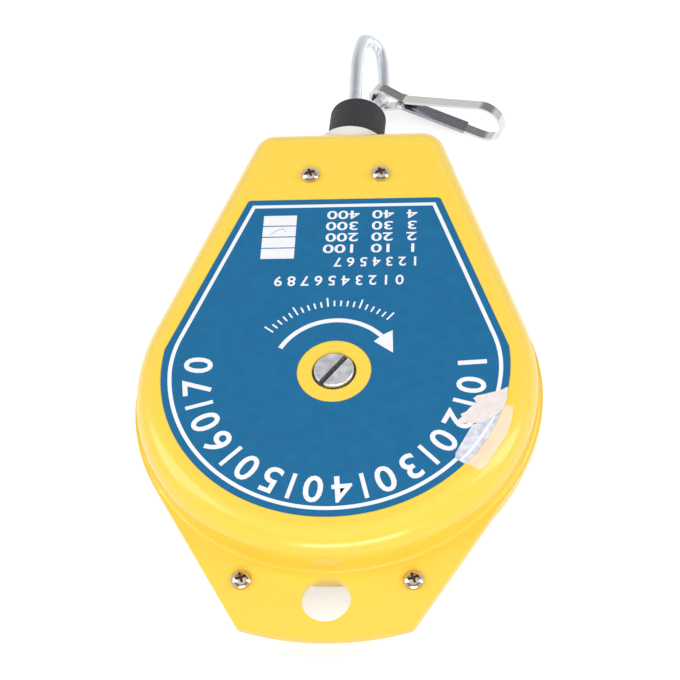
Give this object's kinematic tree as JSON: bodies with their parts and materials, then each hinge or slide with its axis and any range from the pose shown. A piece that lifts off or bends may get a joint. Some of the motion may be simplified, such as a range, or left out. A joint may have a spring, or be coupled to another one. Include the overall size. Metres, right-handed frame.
{
  "type": "tool balancer",
  "caption": "Spring tool balancer: pear-shaped pressed case with hanging tongue, adjusting shaft, cable outlet, rubber stop, swivel hook and snap hook.",
  "frame": {"origin": "the drum's axis, in the plane of the back cover's flat face", "axes": "+Z out of the front cover along the drum's axis, +Y towards the cable outlet and hook, +X to the right seen from the front"},
  "size_m": [0.1278, 0.2485, 0.0303],
  "materials": {
    "cover_paint": "glossy powder coat, yellow",
    "label_blue": "satin printed film, blue",
    "zinc_steel": "bright zinc plate",
    "shaft_steel": "turned, oiled",
    "nickel": "nickel plate",
    "spring_steel": "blued",
    "bronze": "sintered bronze",
    "rubber_black": "matt moulded rubber",
    "nylon_white": "moulded nylon",
    "drum_plastic": "glass filled nylon",
    "cable_steel": "stranded wire",
    "ferrule_metal": "swaged"
  },
  "bodies": {
    "case": {"front_cover": "cover_paint", "back_cover": "cover_paint", "front_label": "label_blue", "top_screws": "zinc_steel", "tongue_screws": "zinc_steel", "tongue_nuts": "zinc_steel", "clinch_nuts": "zinc_steel", "front_bearing_plate": "bronze", "back_bush": "bronze", "thrust_washer": "bronze", "pawl_pin": "shaft_steel", "pawl_spring": "spring_steel", "cable_guide": "nylon_white", "cable_lead": "cable_steel"},
    "drum": {"rope_drum": "drum_plastic", "drum_bush": "bronze", "spring_cover": "zinc_steel", "spring_cover_screws": "zinc_steel", "spiral_spring": "spring_steel", "wound_cable": "cable_steel"},
    "shaft": {"adjusting_shaft": "shaft_steel", "spring_anchor_pin": "shaft_steel", "retaining_ring": "spring_steel", "ratchet_wheel": "shaft_steel"},
    "pawl": {"pawl": "shaft_steel"},
    "hook_carrier": {"rubber_buffer": "rubber_black", "swivel_socket": "zinc_steel", "cable_ferrule": "ferrule_metal", "cable_end": "cable_steel"},
    "hook": {"hook": "zinc_steel"},
    "snap_hook": {"snap_hook_frame": "nickel", "snap_hook_rivet": "nickel", "snap_hook_spring": "spring_steel"},
    "gate": {"snap_hook_gate": "nickel"}
  },
  "joints": [
    {"name": "hook_pull", "type": "slide", "parent": "case", "child": "hook_carrier", "axis": [0, 1, 0], "range_m": [0, 1], "stiffness_N_per_m": 10, "springref_m": -1},
    {"name": "drum_turn", "type": "hinge", "parent": "case", "child": "drum", "pos_m": [0, 0, 0.01415], "axis": [0, 0, 1], "range_deg": [0, 1220], "deforming": ["spiral_spring", "wound_cable"]},
    {"name": "shaft_turn", "type": "hinge", "parent": "case", "child": "shaft", "pos_m": [0, 0, 0.01415], "axis": [0, 0, 1], "range_deg": [-1800, 0]},
    {"name": "pawl_lift", "type": "hinge", "parent": "case", "child": "pawl", "pos_m": [-0.00904, 0.02034, 0.024], "axis": [0, 0, 1], "range_deg": [0, 9], "stiffness_Nm_per_rad": 0.02, "springref_deg": -20.05, "deforming": ["pawl_spring"]},
    {"name": "hook_swivel", "type": "hinge", "parent": "hook_carrier", "child": "hook", "pos_m": [0, 0.116, 0.01415], "axis": [0, 1, 0], "continuous": true},
    {"name": "snap_swing", "type": "hinge", "parent": "hook", "child": "snap_hook", "pos_m": [0.00896, 0.1378, 0.00454], "axis": [0.1705, 0.9682, -0.1828], "range_deg": [-100, 20]},
    {"name": "gate_open", "type": "hinge", "parent": "snap_hook", "child": "gate", "pos_m": [0.01663, 0.13457, 0.00565], "axis": [-0.4011, -0.9154, 0.0348], "range_deg": [0, 18], "stiffness_Nm_per_rad": 0.01, "springref_deg": -17.19, "deforming": ["snap_hook_spring"]}
  ],
  "couplings": [
    {"joint": "drum_turn", "follows": "hook_pull", "rad_per_m": 21.277}
  ]
}
